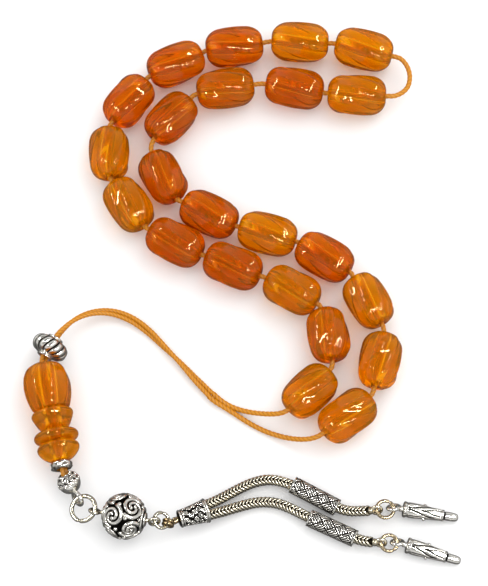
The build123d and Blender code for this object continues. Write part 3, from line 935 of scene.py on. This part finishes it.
# ---- Filigree ball ----
FILIGREE_RADIUS = 5.2 * MM
# Radius of the dark core, which is painted shade for the gaps between the scrolls.
FILIGREE_CORE = 4.75 * MM
SCROLLS = 10
SCROLL_LATITUDE = radians(26.57)  # ten scrolls and two poles, spaced as an icosahedron's corners
SCROLL_WIRE = 0.5 * MM  # radius
WIDE_SCROLL = 3.3 * MM  # reach of an arm
NARROW_SCROLL = 2.7 * MM
COLLARS = ((16, 0.42 * MM), (31, 0.4 * MM))  # degrees from the pole and wire radius
COLLAR_STEPS = 40


def spiral(outer, turns, hand, start, steps=26):
    """Flat points of a scroll that winds in from its outer end, with the share of the way in."""
    points = []
    for step in range(steps):
        share = step / (steps - 1)
        radius = outer * (1 - 0.82 * share ** 0.85)
        turn = start + hand * 2 * pi * turns * share
        points.append((radius * cos(turn), radius * sin(turn), share))
    return points


def make_filigree_ball():
    """Ball of ten heavy double scrolls over a dark core, which is painted shade for the gaps between the
    scrolls, with two collars at each pole and granules.
    """
    middle = joint_place("filigree_ball_spin")
    axis = joint_axis("filigree_ball_spin")
    side, third = axes_along(axis)
    build = Build()
    # The dark core takes the patina colour, but it is painted shade: a dark filling that stands for the
    # shade seen between the scrolls.
    build.ball(middle, FILIGREE_CORE, relief=0.0, columns=48, rows=28)

    def on_ball(direction):
        return middle + direction.normalized() * FILIGREE_RADIUS

    centres = []
    for index, turn in enumerate(turns_round(SCROLLS)):
        latitude = SCROLL_LATITUDE if index % 2 else -SCROLL_LATITUDE
        centres.append(turned(turned(side, third, turn), axis, latitude))
    for index, centre in enumerate(centres):
        first, second = axes_along(centre)
        hand = 1 if index % 2 else -1
        outer = WIDE_SCROLL if index % 3 else NARROW_SCROLL
        for arm in range(2):
            points, radii = [], []
            for x, y, share in spiral(outer, 0.95, hand, pi * arm + 0.7 * index):
                points.append(on_ball(centre * FILIGREE_RADIUS + first * x + second * y))
                radii.append(SCROLL_WIRE * (1 - 0.3 * share))
            build.wire(points, radii, columns=10, inside=middle)
            build.ball(points[-1], SCROLL_WIRE)
    for pole in (axis, -axis):
        for latitude, wire in COLLARS:
            ring = []
            for turn in turns_round(COLLAR_STEPS):
                ring.append(on_ball(turned(pole, turned(side, third, turn), radians(latitude))))
            build.wire(ring, [wire] * COLLAR_STEPS, columns=10, joined_ends=True, inside=middle)
    for index, centre in enumerate(centres):
        neighbour = centres[(index + 1) % SCROLLS]
        beyond = centres[(index + 2) % SCROLLS]
        pole = axis if index % 2 else -axis
        build.ball(on_ball(centre + neighbour + beyond), 0.55 * MM)
        build.ball(on_ball(centre + beyond + pole), 0.5 * MM)
    build.finish("filigree_ball_silver", SILVER, "filigree_ball")


# ---- End cap ----
CAP_SMALL_RADIUS = 1.78 * MM
CAP_WIDE_RADIUS = 2.72 * MM
CAP_MOUTH_RADIUS = 2.6 * MM
CAP_SCROLL_WIRE = 0.17 * MM
# Each row of scrolls: its height, the number of scrolls and their reach, in millimetres.
CAP_SCROLLS = ((1.65, 7, 0.62), (2.8, 7, 0.66), (3.95, 8, 0.66), (5.05, 9, 0.66), (6.0, 9, 0.5))
CAP_RIMS = ((0.35, 0.3), (0.95, 0.17), (6.55, 0.2), (7.05, 0.28))  # height and wire radius
CAP_RIM_STEPS = 64


def make_end_cap():
    """Tapered cap: a dark ground, raised double scrolls in rows and round wire rims at both ends."""
    start, end = place(*CAP_SMALL_END), place(*CAP_WIDE_END)
    axis = (end - start).normalized()
    length = (end - start).length
    side, third = axes_along(axis)
    build = Build()

    def cone_radius(height):
        return CAP_SMALL_RADIUS + (CAP_WIDE_RADIUS - CAP_SMALL_RADIUS) * height / length

    floor_height = length - CAP_MOUTH_DEPTH
    outline = [(5 * POLE_GAP, 0.0)]
    outline += [(cone_radius(length * step / 12), length * step / 12) for step in range(13)]
    outline += [(CAP_MOUTH_RADIUS, length), (CAP_MOUTH_RADIUS, floor_height), (5 * POLE_GAP, floor_height)]
    build.lathe(outline, start, axis, 72, lambda radius, height, turn: (radius, 0.0))

    def on_cone(height, turn, lift):
        return start + axis * height + turned(side, third, turn) * (cone_radius(height) + lift)

    for row, (height, count, outer) in enumerate(CAP_SCROLLS):
        for index in range(count):
            middle_turn = 2 * pi * (index + 0.5 * (row % 2)) / count
            hand = 1 if index % 2 else -1
            for arm in range(2):
                points, radii = [], []
                for x, y, share in spiral(outer * MM, 0.8, hand, pi * arm + 1.3 * index, steps=12):
                    here = height * MM + y
                    turn = middle_turn + x / cone_radius(here)
                    points.append(on_cone(here, turn, 0.08 * MM))
                    radii.append(CAP_SCROLL_WIRE * (1 - 0.25 * share))
                build.wire(points, radii, columns=8, inside=start + axis * height * MM)
    for height, wire in CAP_RIMS:
        ring = [on_cone(height * MM, turn, 0.12 * MM) for turn in turns_round(CAP_RIM_STEPS)]
        build.wire(ring, [wire * MM] * CAP_RIM_STEPS, columns=10, joined_ends=True)
    build.finish("end_cap_silver", SILVER, "end_cap")


# ---- Woven tubes ----
WEAVE_BLOCKS = 4  # blocks along a diagonal turn round the tube
WEAVE_LINES = 4  # ridges in a block
WEAVE_DEPTH = 0.13 * MM
TUBE_RADIUS = 2.15 * MM
TUBE_BORE = 1.45 * MM
TUBE_RIM = 0.4 * MM
TUBE_STEPS = 170


def make_weave_tube(number):
    """Silver tube with a basket weave: blocks of parallel ridges, each square to its neighbours."""
    node = f"weave_tube_{number}"
    start, axis, length = axle(node)
    block = 2 * pi * TUBE_RADIUS / sqrt(2) / WEAVE_BLOCKS

    def shape(radius, height, turn):
        if radius < TUBE_RADIUS:
            return radius, 0.6
        rim = min(height, length - height)
        if rim < TUBE_RIM:
            return TUBE_RADIUS, 0.85
        round_way = turn * TUBE_RADIUS
        first = (height + round_way) / sqrt(2) / block
        second = (height - round_way) / sqrt(2) / block
        across = first if (floor(first) + floor(second)) % 2 else second
        ridge = smooth_step(0.42, 0.85, abs(sin(pi * WEAVE_LINES * across)))
        edge = min(first % 1, 1 - first % 1, second % 1, 1 - second % 1)
        raised = ridge * smooth_step(0.02, 0.1, edge) * smooth_step(TUBE_RIM, 0.6 * MM, rim)
        return TUBE_RADIUS - WEAVE_DEPTH * (1 - raised), smooth_step(0.35, 0.85, raised)

    outer = [(TUBE_RADIUS, length * step / TUBE_STEPS) for step in range(TUBE_STEPS + 1)]
    profile = [(TUBE_BORE, 0.0)] + outer + [(TUBE_BORE, length)]
    build = Build()
    build.lathe(profile, start, axis, 200, shape, joined_ends=True)
    build.finish(f"weave_tube_{number}_silver", SILVER, node)


# ---- Drops ----
DROP_HEADING = {1: -8.4, 2: -16.2}  # degrees from X
DROP_DIP = radians(4.5)
DROP_RIM = 2.28 * MM  # from the middle of a drop's eye
DROP_OUTLINE = [(0.3, 0.0), (1.3, 0.0), (1.85, 0.12), (2.02, 0.45), (1.9, 0.85), (1.76, 1.15),
                (1.84, 1.5), (1.84, 3.0), (1.74, 5.0), (1.6, 7.0), (1.44, 9.0), (1.34, 9.9),
                (1.2, 10.05), (0.98, 10.12), (0.94, 10.3), (1.06, 10.5), (1.08, 11.2), (1.05, 12.4),
                (0.9, 13.2), (0.56, 13.6), (0.05, 13.7)]
# Each pair of knobs: its distance from the rim, its reach and its radius, in millimetres.
DROP_KNOBS = ((5.3, 1.72, 0.42), (9.9, 1.1, 0.36))
LEAVES = 3
LEAF_START, LEAF_END = 1.2, 9.6  # millimetres from the rim
LEAF_LINE = 0.17 * MM  # depth of the lines that draw the leaves
LEAF_GROUND = 0.06 * MM  # how far the ground between the leaves is sunk


def rim_and_tip_relief(radius, along, turn):
    """A drop's scalloped rim, and the dark groove between its body and its tip."""
    if along < 1.0:
        scallop = 0.35 + 0.65 * abs(cos(6 * turn)) ** 0.7
        return radius - 0.12 * MM * (1 - scallop), scallop
    return radius, 0.0 if 9.9 < along < 10.45 else 1.0


def drop_relief(radius, height, turn):
    """Deep lines draw leaves that narrow towards the tip, and others that widen between them."""
    along = height / MM
    if along < LEAF_START or along > LEAF_END:
        return rim_and_tip_relief(radius, along, turn)
    share = (turn - pi / 2) / (2 * pi / LEAVES)
    upper = abs((share + 0.5) % 1.0 - 0.5)
    upper_half = 0.42 * (1 - smooth_step(LEAF_START, 7.6, along)) + 0.02
    upper_line = smooth_step(0.02, 0.085, abs(upper - upper_half)) if along < 7.9 else 1.0
    spine = smooth_step(0.01, 0.06, upper) if 1.6 < along < 4.6 else 1.0
    lower_half = 0.3 * smooth_step(4.4, 9.4, along)
    lower = abs(abs(share % 1.0 - 0.5) - lower_half)
    lower_line = smooth_step(0.02, 0.08, lower) if along > 4.4 else 1.0
    value = min(upper_line, spine, lower_line)
    raised = 0.1 * MM if upper < upper_half else 0.0
    return radius - LEAF_LINE * (1 - value) - LEAF_GROUND + raised, value


def make_drop(number):
    """Long silver drop: a scalloped rim, lance-shaped leaves in relief and a grooved round tip."""
    node = f"drop_{number}"
    joint = f"{node}_lift"
    axis = (level(DROP_HEADING[number]) - UP * sin(DROP_DIP)).normalized()
    rim = joint_place(joint) + axis * DROP_RIM
    side, _ = axes_along(axis)
    build = Build()
    eye_and_stem(build, joint, rim + axis * 0.4 * MM, DROP_EYE, DROP_STEM_WIRE, WIDE_EYE_LEAN)
    build.lathe(curve_profile(DROP_OUTLINE, 9), rim, axis, 128, drop_relief)
    for out in (side, -side):
        for along, reach, radius in DROP_KNOBS:
            build.ball(rim + axis * along * MM + out * reach * MM, radius * MM)
    build.finish(f"{node}_silver", SILVER, node)


make_head_barrel()
for head_node, head_outline in HEAD_OUTLINES.items():
    make_head_piece(head_node, head_outline, HEAD_COLUMNS, None, HEAD_AMBER, "head_amber")
make_rondelle()
make_head_spacer()
for ring_node in ("large_ring", "small_ring"):
    make_ring(ring_node, WIRE_SILVER)
make_ball_pin()
make_cap_loop()
make_ball_cap()
make_filigree_ball()
make_end_cap()
for tassel_number in (1, 2):
    make_chain_end_loop(tassel_number)
    make_ring(f"end_ring_{tassel_number}", WARM_WIRE)
    make_weave_tube(tassel_number)
    make_drop(tassel_number)

frame["nodes"]["string_knot"].data.materials.clear()
frame["nodes"]["string_knot"].data.materials.append(STRING)


# ---- Floor and light ----
TENT_LIGHT = 1.3
FLOOR_MIRRORED = 0.07  # grey of the table top in mirrored rays
FLOOR_REACH = 1.5
FLOOR_DROP = 0.00005  # keeps the table top clear of the pieces that lie on it


def make_floor():
    """A plain white table top, which the silver and amber mirror as a dark one."""
    corners = [(x * FLOOR_REACH, y * FLOOR_REACH, 0) for x, y in ((-1, -1), (1, -1), (1, 1), (-1, 1))]
    look = Look(bpy.data.materials.new("white_table"))
    white = look.ramp(look.noise(60, 4.0), [(0.3, grey(0.88)), (0.7, grey(0.9))])
    colour = look.mix(look.mirrored(), white, grey(FLOOR_MIRRORED))
    look.shade({"Base Color": colour, "Roughness": 0.55})
    table_top = link_mesh("floor", corners, [(0, 1, 2, 3)], look.owner)
    table_top.location.z = -FLOOR_DROP


def add_area(name, direction, distance, width, height, power, reflected=True, lights_floor=True):
    """An area light that faces the object, its width along X. Some only light dull surfaces, others
    are only mirrored."""
    data = bpy.data.lights.new(name, "AREA")
    data.shape = "RECTANGLE"
    data.size = width
    data.size_y = height
    data.energy = power
    light = add_object(name, data)
    towards = Vector(direction).normalized()
    across = (RIGHT - towards * towards.x).normalized()
    light.location = towards * distance
    light.rotation_mode = "QUATERNION"
    axes = Matrix((across, towards.cross(across), towards)).transposed()
    light.rotation_quaternion = axes.to_quaternion()
    light.visible_glossy = reflected
    light.visible_diffuse = lights_floor
    light.visible_transmission = lights_floor


def make_world():
    """White surroundings for dull surfaces. Polish mirrors, and amber bends, a tent with a dark top."""
    look = Look(bpy.data.worlds.new("studio"))
    bpy.context.scene.world = look.owner
    bent = look.tent((0.0, -0.6, 0.8), [(0.0, 1.2), (0.25, 0.6), (0.5, 0.09), (1.0, 0.03)])
    mirrored = look.tent((0.0, 0.0, 1.0),
                         [(0.0, 0.8), (0.4, 0.7), (0.65, 0.36), (0.88, 0.2), (1.0, 0.12)])
    shiny = look.mix(look.mirrored(), bent, mirrored)
    scattered = look.add("LightPath", {}).outputs["Is Diffuse Ray"]
    look.feed(look.nodes["Background"], {"Color": look.mix(scattered, shiny, grey(TENT_LIGHT))})


make_floor()
make_world()
add_area("soft_key", (0.45, 0.5, 0.75), 0.8, 0.6, 0.6, 1.6, reflected=False)
add_area("upper_strip", (0.30, -0.20, 0.92), 0.6, 0.40, 0.02, 1.6, lights_floor=False)
add_area("lower_strip", (0.30, -0.37, 0.86), 0.6, 0.40, 0.02, 1.6, lights_floor=False)
add_area("left_strip", (-0.66, 0.05, 0.74), 0.6, 0.035, 0.22, 1.3, lights_floor=False)
add_area("right_strip", (0.55, 0.2, 0.81), 0.6, 0.025, 0.2, 0.9, lights_floor=False)
bpy.context.scene.view_settings.view_transform = "Standard"
